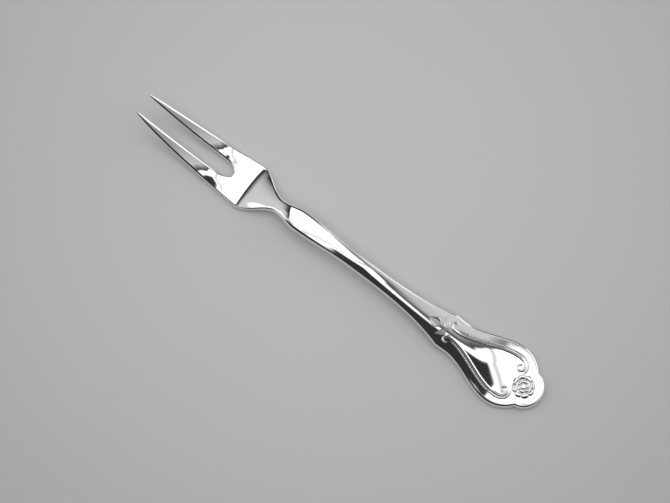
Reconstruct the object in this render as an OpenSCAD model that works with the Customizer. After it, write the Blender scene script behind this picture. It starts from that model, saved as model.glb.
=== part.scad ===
// Two-tine meat fork of polished silver, with leaves, beaded scrolls and a rosette in relief on the handle.
// It lies face up on a table. X runs from the tine tips to the handle end, Z points up, and the origin is
// on the table below the middle of the fork. A place along the fork is given as s, the distance from the tips.

/* [Tines] */
// Length of the tines, from the tips to the root of the slot
tine_length = 34.9; // [30:0.1:42]
// Distance between the two tips, centre to centre
tip_spacing = 6.6; // [5.6:0.1:8]
// Width of a tine at its tip
tip_width = 0.5; // [0.4:0.05:0.9]
// Thickness of a tine at its tip
tip_thickness = 0.7; // [0.5:0.05:1.2]
// Height of the tips above the table
tip_rise = 9.8; // [4:0.1:14]
// Width of the slot where it is narrowest
slot_width = 4.8; // [4.2:0.1:5.6]
// Length of the slot's round root
slot_root_length = 4.6; // [2.4:0.1:7]
// Rounding of the tine edges
tine_edge = 0.75; // [0.5:0.05:1.1]

/* [Palm and neck] */
// Length of the flat palm, from the slot to the crease
palm_length = 5.6; // [4:0.1:12]
// Width across the palm's shoulders
palm_width = 15.9; // [14:0.1:19]
// Thickness of the palm
palm_thickness = 1.9; // [1.4:0.05:2.6]
// How far the palm's face falls from its middle to its edge
palm_crown = 0.05; // [0:0.01:0.3]
// Rounding of the palm edges
palm_edge = 0.45; // [0.3:0.05:0.8]
// Length of the rising neck, from the crease to its narrowest place
neck_length = 12.9; // [10:0.1:18]
// Width of the neck at its narrowest place
neck_width = 4.85; // [4:0.05:6.5]
// Length over which the crease bends up
crease_length = 2.6; // [1:0.1:5]

/* [Stem] */
// Length from the narrow neck to the swelling behind it
swelling_length = 7.5; // [5:0.1:10]
// Width of the swelling
swelling_width = 7.3; // [6.5:0.1:9]
// Thickness of the swelling
swelling_thickness = 3.2; // [2.4:0.05:4]
// Height of the stem's underside above the table
stem_lift = 3.8; // [1.5:0.1:6]
// Length of the stem, from the swelling to the handle's ears
stem_length = 57.3; // [45:0.1:75]
// Distance from the swelling to the thinnest place of the stem
stem_waist_at = 21; // [15:0.5:30]
// Width of the stem where it is thinnest
stem_width = 5.2; // [4.2:0.1:6.4]
// Thickness of the stem where it is thinnest
stem_thickness = 3.4; // [2.6:0.05:4.4]
// Rounding of the edges at the neck and the swelling
swelling_edge = 1.1; // [0.6:0.05:1.3]
// Rounding of the stem edges
stem_edge = 0.55; // [0.4:0.05:1.3]
// How late the stem flares towards the ears
stem_flare = 3.2; // [2:0.1:5]
// How far the stem's face falls from its middle to its edge
stem_crown = 0.13; // [0.05:0.01:0.6]

/* [Handle] */
// Length of the handle, from the ears to its end
handle_length = 36.8; // [33:0.1:44]
// Width across the ears
ear_width = 12; // [10.5:0.1:14]
// Thickness of the handle at the ears
ear_thickness = 2.8; // [2.2:0.05:3.6]
// Distance from the ears to the waist behind them
waist_at = 3.8; // [2:0.1:6]
// Width of that waist
waist_width = 11.8; // [10:0.1:13.5]
// Greatest width of the handle
handle_width = 21.5; // [19:0.1:26]
// Thickness of the handle where it is widest
handle_thickness = 2.5; // [2.1:0.05:3.4]
// Distance from the widest place to the handle end
handle_round = 14; // [12:0.1:17]
// How far the end lobe stands past the handle's own round
lobe_reach = 3.1; // [1.5:0.1:5]
// Length of the end lobe's curve
lobe_length = 6; // [4:0.1:8]
// Width of the end lobe
lobe_width = 13.2; // [10:0.1:15]
// Thickness at the handle end
end_thickness = 2.8; // [2:0.05:3.2]
// How far the handle's face falls from its middle to its edge
face_crown = 0.45; // [0.2:0.05:0.8]
// Rounding of the handle's edge
handle_edge = 0.7; // [0.4:0.05:1.2]

/* [Scrolls and beading] */
// Width of a scroll's raised ridge
scroll_width = 1; // [0.7:0.05:1.2]
// Height of the ridge above the handle's face
scroll_height = 0.45; // [0.2:0.05:0.8]
// Distance of a scroll from the fork's centre line at its leaf end
scroll_inset = 1.25; // [1:0.05:1.6]
// Width of the plain border outside a scroll at the widest place
scroll_border = 3.9; // [3.2:0.1:5]
// Distance from the ears to the start of a scroll's long curve
scroll_from_ears = 2.7; // [2.5:0.1:4]
// Length of a scroll's end curl along its line
end_curl_length = 9.6; // [7:0.1:10.5]
// Radius of the end curl at its eye
end_curl_radius = 0.78; // [0.7:0.02:0.9]
// Length of a scroll's leaf-end curl along its line
leaf_curl_length = 4.9; // [4:0.1:5.4]
// Radius of the leaf-end curl at its eye
leaf_curl_radius = 0.65; // [0.6:0.02:0.8]
// Diameter of a bead
bead_diameter = 0.6; // [0.4:0.02:0.7]
// Distance between beads, centre to centre
bead_pitch = 0.82; // [0.8:0.02:1.2]

/* [Leaves and rosette] */
// Length of the centre leaf
centre_leaf_length = 4.35; // [3:0.05:5]
// Width of the centre leaf
centre_leaf_width = 3.2; // [2:0.1:3.4]
// Length of a side leaf
side_leaf_length = 3.9; // [3:0.1:4.4]
// Width of a side leaf
side_leaf_width = 2; // [1.4:0.1:2.2]
// Height of the leaves above the handle's face
leaf_height = 0.4; // [0.2:0.05:0.7]
// Angle between the centre line and a side leaf
side_leaf_angle = 46; // [42:1:54]
// Distance from the rosette's middle to the handle end
rosette_from_end = 6.7; // [6:0.1:7]
// Diameter of the rosette
rosette_diameter = 7.8; // [6:0.1:8]
// Diameter of the inner ring of petals
heart_diameter = 4.5; // [3.4:0.1:5.2]
// Diameter of the boss in the middle
eye_diameter = 1.9; // [1.2:0.1:2.4]
// Height of the rosette's petals above the handle's face
petal_height = 0.5; // [0.25:0.05:0.8]
// Number of petals in the outer ring
outer_petals = 8; // [5:1:10]
// Number of petals in the inner ring
inner_petals = 6; // [4:1:8]

/* [Hidden] */
silver = [0.86, 0.86, 0.87];
bright_silver = [0.93, 0.93, 0.94];

// Places along the fork
bend_behind = 0.5;
shoulder_back = 0.9;
crest_before = 2.5;
crown_fade_ahead = 2;
crown_flat_ahead = 2;
s_root = tine_length;
s_bend = s_root + bend_behind;
s_crease = s_root + palm_length;
s_shoulder = s_crease + shoulder_back;
s_neck = s_crease + neck_length;
s_swelling = s_neck + swelling_length;
s_crest = s_swelling - crest_before;
s_stem_waist = s_swelling + stem_waist_at;
s_ears = s_swelling + stem_length;
s_waist = s_ears + waist_at;
s_end = s_ears + handle_length;
s_widest = s_end - handle_round;
s_slot_straight = s_root - slot_root_length;
s_crown_fade = s_ears - crown_fade_ahead;
s_crown_flat = s_widest - crown_flat_ahead;
// The soft blend from the rising neck to the level stem
crest_length = 4;
// The blends at the two ends of the stem's long fall to the handle
fall_lead = 53;
fall_tail = 22;
// Half width at which the handle end closes
nose_half = 0.4;
// Exponents of the tines' outline and of their upward bend
tine_spread = 0.7;
tine_bend = 2;
// Exponent of the slot's opening towards the tips
slot_spread = 1.5;
// Crowns of the narrow neck and of the flatter swelling behind it
neck_crown = 0.18;
swelling_crown = 0.08;
// Steepest lean of the face across the stem and across the handle
stem_lean = 1;
handle_lean = 0.2;

// The film between an ornament and the face that it sits on
seat_gap = 0.03;
// The upright step at an ornament's border
border_step = 0.1;
// The room between neighbouring ornaments
ornament_gap = 0.06;

// Rows and columns of the fork's lofted surface
top_columns = 6;
edge_columns = 6;
bottom_columns = 4;
inner_columns = 4;

// Curves shared by all the outlines
function ease(q) = let (c = min(1, max(0, q))) c * c * (3 - 2 * c);
function between(a, b, s, s0, s1) = a + (b - a) * ease((s - s0) / (s1 - s0));
function ellipse_half(half, s, middle, reach) =
    abs(s - middle) >= reach ? 0 : half * sqrt(1 - pow((s - middle) / reach, 2));

// Plan of the fork: outer half width and half width of the slot
tip_outer = (tip_spacing + tip_width) / 2;
tip_inner = (tip_spacing - tip_width) / 2;
function half_width(s) =
    s < s_shoulder ? tip_outer + (palm_width / 2 - tip_outer) * pow(max(0, s) / s_shoulder, tine_spread)
    : s < s_neck ? between(palm_width / 2, neck_width / 2, s, s_shoulder, s_neck)
    : s < s_swelling ? between(neck_width / 2, swelling_width / 2, s, s_neck, s_swelling)
    : s < s_stem_waist ? between(swelling_width / 2, stem_width / 2, s, s_swelling, s_stem_waist)
    : s < s_ears ? (stem_width + (ear_width - stem_width)
        * pow((s - s_stem_waist) / (s_ears - s_stem_waist), stem_flare)) / 2
    : s < s_waist ? between(ear_width / 2, waist_width / 2, s, s_ears, s_waist)
    : s < s_widest ? between(waist_width / 2, handle_width / 2, s, s_waist, s_widest)
    : max(ellipse_half(handle_width / 2, s, s_widest, handle_round - lobe_reach),
          ellipse_half(lobe_width / 2, s, s_end - lobe_length, lobe_length), nose_half);
function slot_half(s) =
    s >= s_root ? 0
    : s >= s_slot_straight ? ellipse_half(slot_width / 2, s, s_slot_straight, slot_root_length)
    : slot_width / 2 + (tip_inner - slot_width / 2) * pow(1 - s / s_slot_straight, slot_spread);

// Side view of the fork: height of the underside and thickness, on the centre line
function trapezoid_rise(x, run, lead, tail) =
    let (full = run - (lead + tail) / 2)
    x <= 0 ? 0
    : x < lead ? x * x / (2 * lead) / full
    : x < run - tail ? (x - lead / 2) / full
    : x < run ? 1 - pow(run - x, 2) / (2 * tail) / full
    : 1;
function neck_rise(s) = trapezoid_rise(s - s_crease, s_crest - s_crease, crease_length, crest_length);
function stem_fall(s) = trapezoid_rise(s - s_swelling, s_widest - s_swelling, fall_lead, fall_tail);
function underside(s) =
    s < s_bend ? tip_rise * pow(1 - max(0, s) / s_bend, tine_bend)
    : s < s_swelling ? stem_lift * neck_rise(s)
    : stem_lift * (1 - stem_fall(s));
function thickness(s) =
    s < s_root ? tip_thickness + (palm_thickness - tip_thickness) * ease(s / s_root)
    : s < s_swelling ? palm_thickness + (swelling_thickness - palm_thickness) * neck_rise(s)
    : s < s_stem_waist ? between(swelling_thickness, stem_thickness, s, s_swelling, s_stem_waist)
    : s < s_ears ? between(stem_thickness, ear_thickness, s, s_stem_waist, s_ears)
    : s < s_widest ? between(ear_thickness, handle_thickness, s, s_ears, s_widest)
    : between(handle_thickness, end_thickness, s, s_widest, s_end);

// Crown of the face: a fall with the square of the distance from the centre line, which eases into a steady lean
function crown_fall(crown, wide) = crown / pow(wide / 2, 2);
palm_fall = crown_fall(palm_crown, palm_width);
neck_fall = crown_fall(neck_crown, neck_width);
swelling_fall = crown_fall(swelling_crown, swelling_width);
stem_crown_fall = crown_fall(stem_crown, stem_width);
handle_fall = crown_fall(face_crown, handle_width);
function face_fall(s) =
    s < s_neck ? between(palm_fall, neck_fall, s, s_crease, s_neck)
    : s < s_swelling + 8 ? between(neck_fall, swelling_fall, s, s_swelling - 3, s_swelling + 4)
    : s < s_crown_fade ? between(swelling_fall, stem_crown_fall, s, s_swelling + 8, s_stem_waist + 2)
    : between(stem_crown_fall, handle_fall, s, s_crown_fade, s_crown_flat);
function lean_rate(s) = face_fall(s) / between(stem_lean, handle_lean, s, s_stem_waist, s_ears);
function face_drop(s, y) = face_fall(s) * y * y / (1 + lean_rate(s) * abs(y));
function face_lean(s, y) =
    let (bend = lean_rate(s) * abs(y)) face_fall(s) * y * (2 + bend) / pow(1 + bend, 2);
// The back is hollowed a little under the stem
function back_fall(s) =
    s < s_stem_waist ? between(0, 0.1, s, s_crease, s_stem_waist) : between(0.1, 0, s, s_stem_waist, s_ears);
function face_z(s, y) = underside(s) + thickness(s) - face_drop(s, y);
function back_z(s, y) = underside(s) + back_fall(s) * y * y;
function on_fork(s, y, z) = [s - s_end / 2, y, z];

// One half of a cross-section, from the centre line or the slot to the outer edge, over the face and back below
function edge_round(s) =
    s < s_root ? between(tine_edge, palm_edge, s, s_root / 2, s_root)
    : s < s_neck ? between(palm_edge, swelling_edge, s, s_crease, s_neck)
    : s < s_stem_waist ? between(swelling_edge, stem_edge, s, s_swelling, s_stem_waist)
    : between(stem_edge, handle_edge, s, s_stem_waist, s_ears);
function bezier(p, q) =
    pow(1 - q, 3) * p[0] + 3 * pow(1 - q, 2) * q * p[1] + 3 * (1 - q) * q * q * p[2] + pow(q, 3) * p[3];
function edge_curve(y0, y1, z0, z1, lean, q) =
    bezier([[y0, z0], [y0 + 0.55 * (y1 - y0), z0 + 0.55 * (y1 - y0) * lean],
            [y1, z1 + 0.55 * (z0 - z1)], [y1, z1]], q);
function end_taper(s) =
    let (near = min(s_end - s, handle_edge) / handle_edge) sqrt(max(0.02, 1 - pow(1 - near, 2)));
function half_section(s) =
    let (outer = half_width(s), inner = slot_half(s), wide = outer - inner,
         rim = min(edge_round(s), 0.45 * wide), hem = min(edge_round(s), 0.45 * wide, 0.6 * inner),
         y0 = inner + hem, y1 = outer - rim, taper = end_taper(s),
         middle = function (y) (face_z(s, y) + back_z(s, y)) / 2,
         face = function (y) middle(y) + taper * (face_z(s, y) - middle(y)),
         back = function (y) middle(y) + taper * (back_z(s, y) - middle(y)),
         top_lean = -face_lean(s, y1), back_lean = 2 * back_fall(s) * y1)
    concat(
        [for (k = [0 : top_columns]) let (y = y0 + (y1 - y0) * k / top_columns) [y, face(y)]],
        [for (k = [1 : edge_columns - 1]) let (q = 2 * k / edge_columns)
            q <= 1 ? edge_curve(y1, outer, face(y1), middle(y1), top_lean, q)
                   : edge_curve(y1, outer, back(y1), middle(y1), back_lean, 2 - q)],
        [for (k = [0 : bottom_columns]) let (y = y1 + (y0 - y1) * k / bottom_columns) [y, back(y)]],
        [for (k = [1 : inner_columns - 1]) let (q = 2 * k / inner_columns)
            q <= 1 ? edge_curve(y0, inner, back(y0), middle(y0), 0, q)
                   : edge_curve(y0, inner, face(y0), middle(y0), 0, 2 - q)]);
section_points = top_columns + edge_columns + bottom_columns + inner_columns;
outline_points = section_points - inner_columns + 1;

// Rows of the loft, closer together where the shape turns
function spread(a, b, n) = [for (k = [0 : n - 1]) a + (b - a) * k / n];
function closing(a, b, n) = [for (k = [0 : n - 1]) a + (b - a) * sin(90 * k / n)];
rows = concat(
    spread(0, s_slot_straight, 12), closing(s_slot_straight, s_root, 7), spread(s_root, s_bend, 1),
    spread(s_bend, s_crease, 3), spread(s_crease, s_neck, 12), spread(s_neck, s_swelling, 7),
    spread(s_swelling, s_stem_waist, 6), spread(s_stem_waist, s_ears, 10), spread(s_ears, s_waist, 3),
    spread(s_waist, s_widest, 9), closing(s_widest, s_end, 18), [s_end]);
root_row = 12 + 7;

// Triangles that close an end of the loft, spread from the middle of its outer edge
function fan(count, first, flipped) =
    let (hub = top_columns + edge_columns / 2)
    [for (k = [1 : count - 2]) let (a = first + (hub + k) % count, b = first + (hub + k + 1) % count)
        flipped ? [first + hub, b, a] : [first + hub, a, b]];

module fork_body() {
    last = len(rows) - 1;
    half_points = [for (s = rows) each [for (p = half_section(s)) on_fork(s, p[0], p[1])]];
    other_half = [for (p = half_points) [p[0], -p[1], p[2]]];
    half_faces = concat(
        [for (i = [0 : last - 1]) for (j = [0 : section_points - 1])
            if (i < root_row || j < outline_points - 1)
                let (a = i * section_points + j, d = i * section_points + (j + 1) % section_points,
                     b = a + section_points, c = d + section_points)
                each [[a, d, c], [a, c, b]]],
        fan(section_points, 0, true),
        fan(outline_points, last * section_points, false));
    count = len(half_points);
    other_faces = [for (f = half_faces) [for (j = [len(f) - 1 : -1 : 0]) f[j] + count]];
    color(silver) polyhedron(concat(half_points, other_half), concat(half_faces, other_faces), convexity = 8);
}

// An ornament is a grid of [s, y, height] rows: its underside follows the handle's face, seat_gap above it.
// A strip has four borders, a ring has two, and a disc starts from one point, the first of its first row.
module relief(grid, form = "strip") {
    m = len(grid);
    n = len(grid[0]);
    count = m * n;
    seat = [for (row = grid) each [for (p = row) on_fork(p[0], p[1], face_z(p[0], p[1]) + seat_gap)]];
    crest = [for (row = grid) each [for (p = row) on_fork(p[0], p[1], face_z(p[0], p[1]) + seat_gap + p[2])]];
    across = form == "strip" ? n - 1 : n;
    disc = form == "disc";
    faces = concat(
        [for (i = [disc ? 1 : 0 : 1 : m - 2]) for (j = [0 : across - 1])
            let (a = i * n + j, b = a + n, d = i * n + (j + 1) % n, c = d + n)
            each [[a, b, c], [a, c, d], [a + count, c + count, b + count], [a + count, d + count, c + count]]],
        [for (j = [0 : across - 1]) let (a = j, d = (j + 1) % n, b = a + n, c = d + n)
            each disc ? [[0, b, c], [count, c + count, b + count]]
                      : [[a, d, d + count], [a, d + count, a + count]]],
        [for (j = [0 : across - 1]) let (b = (m - 1) * n + j, c = (m - 1) * n + (j + 1) % n)
            each [[b, c + count, c], [b, b + count, c + count]]],
        form != "strip" ? [] : [for (i = [0 : m - 2]) let (a = i * n, b = a + n)
            each [[a, b + count, b], [a, a + count, b + count]]],
        form != "strip" ? [] : [for (i = [0 : m - 2]) let (d = i * n + n - 1, c = d + n)
            each [[d, c, c + count], [d, c + count, d + count]]]);
    color(bright_silver) polyhedron(concat(seat, crest), faces, convexity = 6);
}

// A curl whose bend tightens steadily from one radius to another along its length
function curl(start, heading, turn, flat_radius, eye_radius, run, steps) =
    let (k0 = 1 / flat_radius, k1 = 1 / eye_radius, step = run / steps,
         angle = function (l) heading + turn * (k0 * l + (k1 - k0) * l * l / (2 * run)) * 180 / PI)
    [for (k = 0, p = start; k <= steps;
          p = p + step * [cos(angle((k + 0.5) * step)), sin(angle((k + 0.5) * step))], k = k + 1) p];

// Line of a scroll on the +Y side: the leaf-end curl, the long curve along the border, the end curl
scroll_past_widest = 1;
leaf_curl_start = 3.3;
scroll_start = [s_ears + scroll_from_ears, scroll_inset];
scroll_crest = [s_widest + scroll_past_widest, half_width(s_widest) - scroll_border];
long_curve_steps = 20;
function long_curve(q) =
    [scroll_start[0] + (scroll_crest[0] - scroll_start[0]) * q,
     scroll_start[1] + (scroll_crest[1] - scroll_start[1]) * ease(q)];
crest_radius = pow(scroll_crest[0] - scroll_start[0], 2) / (6 * (scroll_crest[1] - scroll_start[1]));
end_curl = curl(scroll_crest, 0, -1, crest_radius, end_curl_radius, end_curl_length, 26);
leaf_curl = curl(scroll_start, 180, -1, leaf_curl_start, leaf_curl_radius, leaf_curl_length, 12);
scroll_line = concat(
    [for (k = [len(leaf_curl) - 1 : -1 : 1]) leaf_curl[k]],
    [for (k = [0 : long_curve_steps - 1]) long_curve(k / long_curve_steps)],
    end_curl);
function side_of(line, k) =
    let (a = line[max(0, k - 1)], b = line[min(len(line) - 1, k + 1)], d = b - a) [-d[1], d[0]] / norm(d);

module scroll(side) {
    last = len(scroll_line) - 1;
    profile = [-1, -0.6, 0, 0.6, 1];
    grid = [for (k = [0 : last])
        let (p = scroll_line[k], across = side_of(scroll_line, k),
             taper = 0.6 + 0.4 * ease(k / 8) * ease((last - k) / 14))
        [for (t = profile) let (q = p + across * t * taper * scroll_width / 2)
            [q[0], side * q[1], border_step + (scroll_height - border_step) * taper * (1 - t * t)]]];
    relief(side > 0 ? grid : [for (row = grid) [for (k = [len(row) - 1 : -1 : 0]) row[k]]]);
}
module left_scroll() { scroll(1); }
module right_scroll() { scroll(-1); }

// A round boss or ring of petals about a point of the centre line or beside it
function round_grid(middle, inner, outer, rings, sides, height) =
    [for (i = [0 : rings]) let (r = inner + (outer - inner) * i / rings)
        [for (j = [0 : sides - 1]) let (a = 360 * j / sides)
            concat(middle + r * height(i / rings, a)[0] * [cos(a), sin(a)], [height(i / rings, a)[1]])]];

// Beads along the outer side of a scroll, a fixed step apart on the middle stretch of its long curve
bead_gap = 0.15;
bead_offset = (scroll_width + bead_diameter) / 2 + bead_gap;
bead_run = scroll_crest[0] - scroll_start[0];
first_bead = ceil(0.19 * bead_run / bead_pitch);
last_bead = floor(0.9 * bead_run / bead_pitch);
bead_height = 0.28;
module beading(side) {
    for (k = [first_bead : last_bead]) {
        q = k * bead_pitch / bead_run;
        d = long_curve(q + 0.01) - long_curve(q - 0.01);
        middle = long_curve(q) + bead_offset * [-d[1], d[0]] / norm(d);
        dome = function (t, a) [1, border_step + (bead_height - border_step) * (1 - t * t)];
        relief(round_grid([middle[0], side * middle[1]], 0, bead_diameter / 2, 2, 8, dome), "disc");
    }
}
module left_beading() { beading(1); }
module right_beading() { beading(-1); }

// A pointed leaf with a raised rim and a vein down its middle
function leaf_half(q) = pow(max(0, sin(180 * pow(q, 0.55))), 0.9);
module leaf(base, heading, long, wide) {
    along = [cos(heading), sin(heading)];
    across = [-sin(heading), cos(heading)];
    steps = 9;
    profile = [-1, -0.75, -0.4, 0, 0.4, 0.75, 1];
    relief([for (k = [0 : steps])
        let (q = pow(k / steps, 1.3), half = max(0.06, leaf_half(q) * wide / 2))
        [for (t = profile) let (p = base + along * long * q + across * half * t)
            concat(p, [border_step + (leaf_height - border_step) * max(0.05, leaf_half(q))
                * (abs(t) > 0.9 ? 0.2 : abs(t) > 0.7 ? 1 : t == 0 ? 0.9 : 0.45)])]]);
}
spray_base = [s_ears + 0.4, 0];
side_leaf_base = 0.5;
centre_leaf_ahead = 2.75;
module centre_leaf() {
    leaf(spray_base - [centre_leaf_ahead, 0], 180, centre_leaf_length, centre_leaf_width);
}
module left_leaf() {
    leaf(spray_base + [0, side_leaf_base], 180 - side_leaf_angle, side_leaf_length, side_leaf_width);
}
module right_leaf() {
    leaf(spray_base - [0, side_leaf_base], 180 + side_leaf_angle, side_leaf_length, side_leaf_width);
}

// Rosette at the handle end: two rings of petals round a boss
rosette_middle = [s_end - rosette_from_end, 0];
function petal(count, a, turn) = abs(cos(count * (a + turn) / 2));
module rosette_petals() {
    rise = function (t, a) let (lobe = petal(outer_petals, a, 0))
        [1 - (t > 0.99 ? 0.12 * (1 - lobe) : 0),
         border_step + (petal_height - border_step) * (0.45 + 0.55 * lobe) * sin(35 + 145 * t) * 0.95];
    relief(round_grid(rosette_middle, heart_diameter / 2 + ornament_gap, rosette_diameter / 2, 4,
                      6 * outer_petals, rise), "ring");
}
module rosette_heart() {
    rise = function (t, a) let (lobe = petal(inner_petals, a, 90 / inner_petals))
        [1 - (t > 0.99 ? 0.14 * (1 - lobe) : 0),
         border_step + (petal_height - border_step) * (0.5 + 0.5 * lobe) * (0.75 + 0.25 * sin(180 * t))];
    relief(round_grid(rosette_middle, eye_diameter / 2 + ornament_gap, heart_diameter / 2, 3,
                      6 * inner_petals, rise), "ring");
}
module rosette_eye() {
    rise = function (t, a) [1, border_step + petal_height * sqrt(1 - 0.9 * t * t)];
    relief(round_grid(rosette_middle, 0, eye_diameter / 2, 4, 24, rise), "disc");
}

fork_body();
centre_leaf();
left_leaf();
right_leaf();
left_scroll();
right_scroll();
left_beading();
right_beading();
rosette_petals();
rosette_heart();
rosette_eye();
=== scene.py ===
# %% [markdown]
# # A two-tined meat fork in polished silver
# The real fork is struck from one bar of silver: two tines, a flat palm, a rising neck, a crowned stem
# and a broad handle with leaves, beaded scrolls and a rosette raised on its face. A mirror finish hides
# nothing, so every sheet here is computed finely from smooth curves, and the studio around the fork is
# designed as carefully as the fork itself. First the packed model is loaded as a fixed frame.

# %% Load the frame
import math

import bpy
import numpy as np
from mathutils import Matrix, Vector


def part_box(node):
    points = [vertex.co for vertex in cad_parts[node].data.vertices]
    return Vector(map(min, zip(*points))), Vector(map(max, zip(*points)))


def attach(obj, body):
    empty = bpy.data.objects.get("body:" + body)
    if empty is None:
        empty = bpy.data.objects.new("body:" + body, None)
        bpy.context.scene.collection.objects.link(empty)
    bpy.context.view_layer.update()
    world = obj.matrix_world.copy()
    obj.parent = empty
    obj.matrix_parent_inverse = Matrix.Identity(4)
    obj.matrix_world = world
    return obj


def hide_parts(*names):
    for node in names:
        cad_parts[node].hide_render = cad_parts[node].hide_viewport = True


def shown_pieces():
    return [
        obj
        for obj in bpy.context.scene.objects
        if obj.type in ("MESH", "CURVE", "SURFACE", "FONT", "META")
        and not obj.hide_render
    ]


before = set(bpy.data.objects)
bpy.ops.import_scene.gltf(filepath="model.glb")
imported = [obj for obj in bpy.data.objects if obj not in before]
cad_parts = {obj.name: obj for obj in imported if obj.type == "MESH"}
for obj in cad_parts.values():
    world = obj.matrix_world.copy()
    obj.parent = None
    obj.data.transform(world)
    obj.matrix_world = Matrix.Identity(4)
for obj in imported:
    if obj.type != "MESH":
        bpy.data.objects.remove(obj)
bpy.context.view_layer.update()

print("frame nodes:", ", ".join(sorted(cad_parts)))

# %% [markdown]
# ## Sizes
# A silversmith lays a fork out along its length, so every place is given as s, the distance from the
# tips in millimetres. The overall length and width come from the frame. The others are the fork's own
# measures, from the tines back to the handle's end.

# %% Sizes of the tines and the palm, in millimetres
MM = 0.001
body_low, body_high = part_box("fork_body")
fork_length = (body_high.x - body_low.x) / MM
handle_width = (body_high.y - body_low.y) / MM

tine_length = 34.9
tip_spacing = 6.6
tip_width = 0.5
tip_thickness = 0.7
tip_rise = 9.8
tip_round = 0.5
slot_width = 4.8
slot_root_length = 4.6
tine_edge = 0.75
tine_crown = 0.04
tine_crown_half = 1.8
bend_behind = 1.0
palm_length = 5.6
palm_width = 15.9
palm_thickness = 1.9
palm_crown = 0.05
palm_edge = 0.45
print(f"length {fork_length:.2f}, of which the tines take {tine_length}")

# %% Sizes of the neck and the stem
shoulder_back = 0.9
crease_length = 2.6
neck_length = 12.9
neck_width = 4.85
neck_crown = 0.18
crest_length = 4.0
crest_before = 2.5
swelling_length = 7.5
swelling_width = 7.3
swelling_thickness = 3.2
swelling_crown = 0.08
swelling_edge = 1.1
stem_lift = 3.8
stem_length = 57.3
stem_waist_at = 21.0
stem_width = 5.2
stem_thickness = 3.3
stem_crown = 0.13
stem_edge = 0.55
stem_flare = 3.2
stem_lean = 1.0
fall_lead = 53.0
fall_tail = 22.0
print(f"stem {stem_length} long, {stem_width} wide and {stem_thickness} thick at its waist")

# %% Sizes of the handle
ear_width = 12.0
ear_thickness = 2.8
waist_at = 3.8
waist_width = 11.8
handle_thickness = 2.5
handle_round = 14.0
handle_edge = 0.7
face_crown = 0.45
handle_lean = 0.2
lobe_reach = 3.1
lobe_length = 6.0
lobe_width = 13.2
end_thickness = 2.8
nose_half = 0.4
print(f"handle {handle_width:.2f} wide, {handle_thickness} thick")

# %% Places along the fork
s_root = tine_length
s_slot_straight = s_root - slot_root_length
s_bend = s_root + bend_behind
s_crease = s_root + palm_length
s_shoulder = s_crease + shoulder_back
s_neck = s_crease + neck_length
s_swelling = s_neck + swelling_length
s_crest = s_swelling - crest_before
s_stem_waist = s_swelling + stem_waist_at
s_ears = s_swelling + stem_length
s_waist = s_ears + waist_at
s_end = fork_length
s_widest = s_end - handle_round
s_lobe = s_end - lobe_length
print(f"crease at {s_crease:.1f}, swelling at {s_swelling:.1f}, ears at {s_ears:.1f}")

# %% [markdown]
# ## Plan of the fork
# Seen from above, the outline swells and narrows between a few places. An eased step joins two widths
# without a corner, the slot's root and the handle's lobes are parts of ellipses, and the tine tips close
# in a small round. Curves like these could be drawn by hand as splines, but formulas keep both halves
# alike to the last digit.

# %% Eased steps and ellipses
def ease(q):
    """From 0 to 1, level at both ends."""
    c = np.clip(q, 0, 1)
    return c * c * (3 - 2 * c)


def between(first, last, s, start, stop):
    """From the first value to the last, between two places."""
    return first + (last - first) * ease((s - start) / (stop - start))


def ellipse_half(half, s, middle, reach):
    """Half width of an ellipse, 0 past its ends."""
    return half * np.sqrt(np.clip(1 - ((s - middle) / reach) ** 2, 0, 1))


print("an eased step, a quarter of the way along:", round(float(ease(0.25)), 3))

# %% Outer edge
tine_spread = 0.7


def half_width(s):
    """Distance of the outer edge from the centre line."""
    tip_outer = (tip_spacing + tip_width) / 2
    tine = tip_outer + (palm_width / 2 - tip_outer) * np.clip(s / s_shoulder, 0, 1) ** tine_spread
    neck = between(palm_width, neck_width, s, s_shoulder, s_neck) / 2
    swelling = between(neck_width, swelling_width, s, s_neck, s_swelling) / 2
    stem = between(swelling_width, stem_width, s, s_swelling, s_stem_waist) / 2
    flare = np.clip((s - s_stem_waist) / (s_ears - s_stem_waist), 0, 1) ** stem_flare
    ears = (stem_width + (ear_width - stem_width) * flare) / 2
    waist = between(ear_width, waist_width, s, s_ears, s_waist) / 2
    handle = between(waist_width, handle_width, s, s_waist, s_widest) / 2
    side_lobes = ellipse_half(handle_width / 2, s, s_widest, handle_round - lobe_reach)
    end_lobe = ellipse_half(lobe_width / 2, s, s_lobe, lobe_length)
    end = np.maximum(np.maximum(side_lobes, end_lobe), nose_half)
    places = [s_shoulder, s_neck, s_swelling, s_stem_waist, s_ears, s_waist, s_widest]
    stretches = [tine, neck, swelling, stem, ears, waist, handle]
    return np.select([s < place for place in places], stretches, end)


print("half widths at tips, palm and stem:",
      [round(float(half_width(np.array(s))), 2) for s in (0, s_crease, s_stem_waist)])

# %% Slot and tips
slot_spread = 1.5
least_tip = 0.003


def slot_half(s):
    """Distance of the slot's edge from the centre line, 0 behind its root."""
    tip_inner = (tip_spacing - tip_width) / 2
    open_part = np.clip(1 - s / s_slot_straight, 0, 1) ** slot_spread
    straight = slot_width / 2 + (tip_inner - slot_width / 2) * open_part
    root = ellipse_half(slot_width / 2, s, s_slot_straight, slot_root_length)
    return np.where(s < s_slot_straight, straight, np.where(s < s_root, root, 0.0))


def edges(s):
    """Inner and outer edge of one half, with the tip closed in a round."""
    inner = slot_half(s)
    outer = half_width(s)
    tip_share = np.sqrt(np.clip(1 - (1 - np.clip(s / tip_round, 0, 1)) ** 2, least_tip, 1))
    middle = (inner + outer) / 2
    half = (outer - inner) / 2 * tip_share
    on_tine = s < s_root
    return np.where(on_tine, middle - half, inner), np.where(on_tine, middle + half, outer)


print("slot's half width at tips and root:",
      [round(float(slot_half(np.array(s))), 2) for s in (0, s_slot_straight)])

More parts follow.
